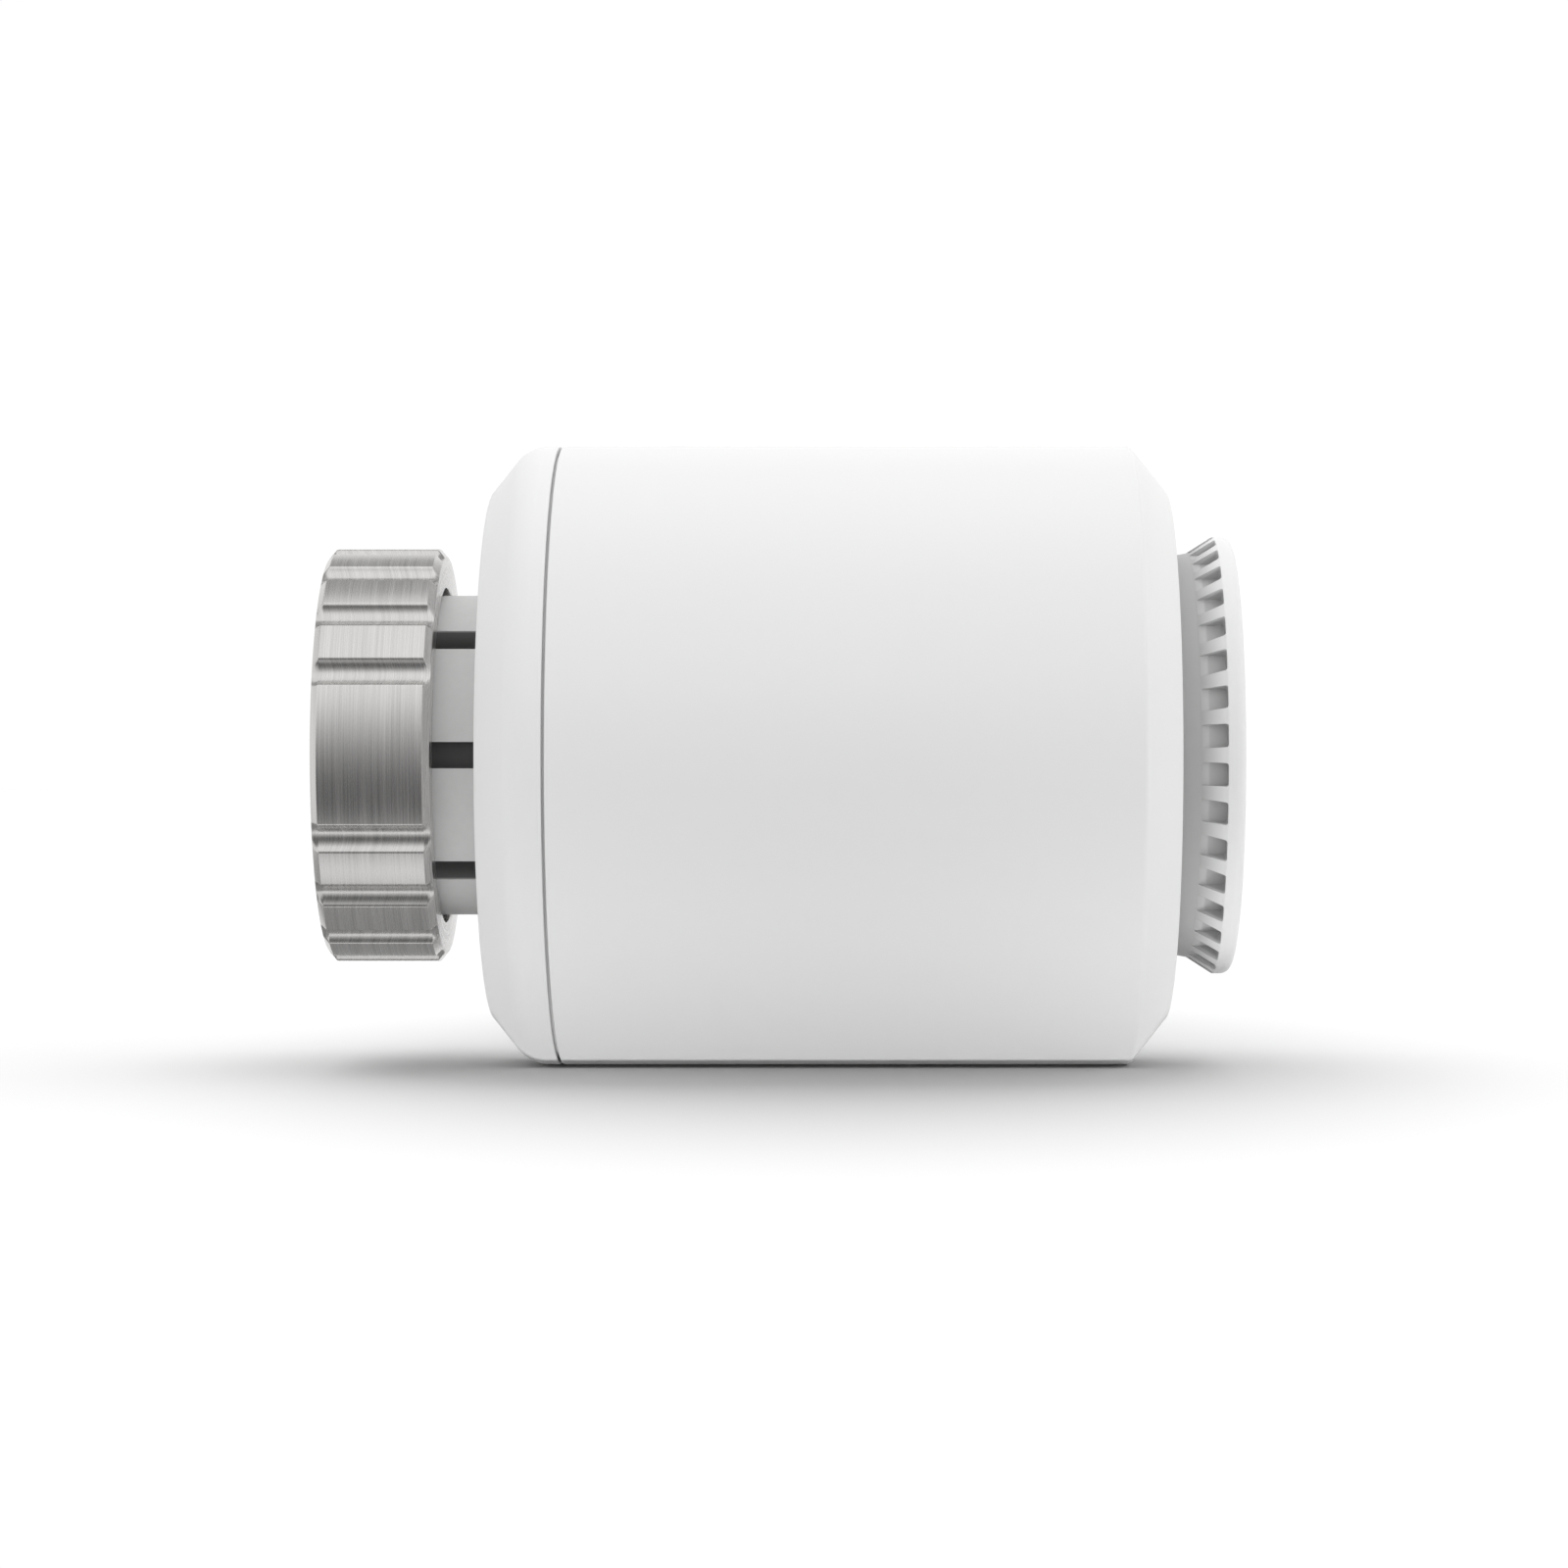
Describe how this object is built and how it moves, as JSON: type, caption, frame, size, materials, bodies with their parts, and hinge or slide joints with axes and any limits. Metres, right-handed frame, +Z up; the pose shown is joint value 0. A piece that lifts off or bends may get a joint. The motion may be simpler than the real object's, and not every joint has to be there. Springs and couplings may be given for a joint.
{
  "type": "motorised radiator valve actuator",
  "caption": "Drum-shaped white radiator valve head with a fluted metal union nut on one end and a ribbed turning dial on the other, with its gear train and cells inside.",
  "frame": {"origin": "on the head's axis, at the outer end of the coupling nut's thread wall", "axes": "+X along the axis from the nut to the dial, +Z up when the head lies level on its valve"},
  "size_m": [0.0799, 0.055, 0.055],
  "materials": {
    "white_plastic": "fine moulded texture",
    "collar_plastic": "grained",
    "dark_plastic": "smooth",
    "natural_plastic": "smooth moulded",
    "gear_plastic": "smooth moulded",
    "holder_plastic": "moulded",
    "nut_metal": "nickel, brushed round its axis",
    "steel": "drawn",
    "screw_steel": "zinc plated",
    "brass": "machined",
    "contact_metal": "nickel plated",
    "seal_rubber": "smooth",
    "board_laminate": "solder mask",
    "chip_resin": "moulded resin",
    "cell_wrap": "printed film",
    "magnet": "bonded ferrite",
    "smoked_lens": "polished"
  },
  "bodies": {
    "base": {"collar": "collar_plastic", "guide_tube": "dark_plastic", "base_cap": "white_plastic", "seal_ring": "seal_rubber", "gearbox_housing": "natural_plastic", "gearbox_cover": "natural_plastic", "gear_axles": "steel", "gearbox_screws": "screw_steel", "thrust_washer": "brass", "motor_can": "steel", "motor_end_bell": "dark_plastic", "motor_terminals": "brass", "motor_strips": "contact_metal", "battery_holder": "holder_plastic", "battery_one": "cell_wrap", "battery_two": "cell_wrap", "rear_contacts": "contact_metal", "bridge_contact": "contact_metal", "contact_springs": "contact_metal", "main_board": "board_laminate", "controller_chip": "chip_resin", "radio_module": "contact_metal", "small_chips": "chip_resin", "capacitor": "steel", "temperature_sensor": "chip_resin", "pin_block": "dark_plastic", "spring_pins": "brass"},
    "nut": {"coupling_nut": "nut_metal"},
    "cover": {"outer_sleeve": "white_plastic", "front_board": "board_laminate", "display_module": "smoked_lens", "push_switch": "contact_metal", "hall_sensors": "chip_resin", "button_carrier": "dark_plastic", "carrier_screws": "screw_steel", "dial_washer": "dark_plastic"},
    "dial": {"dial_ring": "white_plastic", "snap_ring": "steel", "magnet_ring": "magnet"},
    "button": {"button_cap": "white_plastic", "display_lens": "smoked_lens"},
    "switch": {"switch_plunger": "dark_plastic"},
    "spindle": {"spindle_nut": "brass", "spindle_gear": "gear_plastic"},
    "pin": {"push_pin": "gear_plastic", "pin_cap": "steel"},
    "second_gear": {"second_gear": "gear_plastic"},
    "third_gear": {"third_gear": "gear_plastic"},
    "rotor": {"motor_shaft": "steel", "motor_pinion": "brass"}
  },
  "joints": [
    {"name": "nut_turn", "type": "hinge", "parent": "base", "child": "nut", "pos_m": [0, 0, 0], "axis": [1, 0, 0], "continuous": true},
    {"name": "cover_slide", "type": "slide", "parent": "base", "child": "cover", "axis": [1, 0, 0], "range_m": [0, 0.06]},
    {"name": "dial_turn", "type": "hinge", "parent": "cover", "child": "dial", "pos_m": [0.075, 0, 0], "axis": [1, 0, 0], "continuous": true},
    {"name": "button_press", "type": "slide", "parent": "cover", "child": "button", "axis": [-1, 0, 0], "range_m": [0, 0.0005], "stiffness_N_per_m": 2400, "springref_m": -0.0002},
    {"name": "switch_press", "type": "slide", "parent": "cover", "child": "switch", "axis": [-1, 0, 0], "range_m": [0, 0.0005]},
    {"name": "spindle_turn", "type": "hinge", "parent": "base", "child": "spindle", "pos_m": [0.02, 0, 0], "axis": [1, 0, 0], "range_deg": [0, 1080.01]},
    {"name": "pin_slide", "type": "slide", "parent": "base", "child": "pin", "axis": [-1, 0, 0], "range_m": [0, 0.0045]},
    {"name": "second_gear_turn", "type": "hinge", "parent": "base", "child": "second_gear", "pos_m": [0.02, 0, 0.0096], "axis": [1, 0, 0], "range_deg": [-3240.01, 0]},
    {"name": "third_gear_turn", "type": "hinge", "parent": "base", "child": "third_gear", "pos_m": [0.02, 0.00709, 0.00835], "axis": [1, 0, 0], "range_deg": [0, 6480.01]},
    {"name": "rotor_turn", "type": "hinge", "parent": "base", "child": "rotor", "pos_m": [0.03, 0.00388, 0.01524], "axis": [1, 0, 0], "range_deg": [-18144.01, 0]}
  ],
  "couplings": [
    {"joint": "spindle_turn", "follows": "pin_slide", "rad_per_m": 4188.8},
    {"joint": "second_gear_turn", "follows": "pin_slide", "rad_per_m": -12566},
    {"joint": "third_gear_turn", "follows": "pin_slide", "rad_per_m": 25133},
    {"joint": "rotor_turn", "follows": "pin_slide", "rad_per_m": -70372},
    {"joint": "switch_press", "follows": "button_press", "ratio": 1}
  ]
}
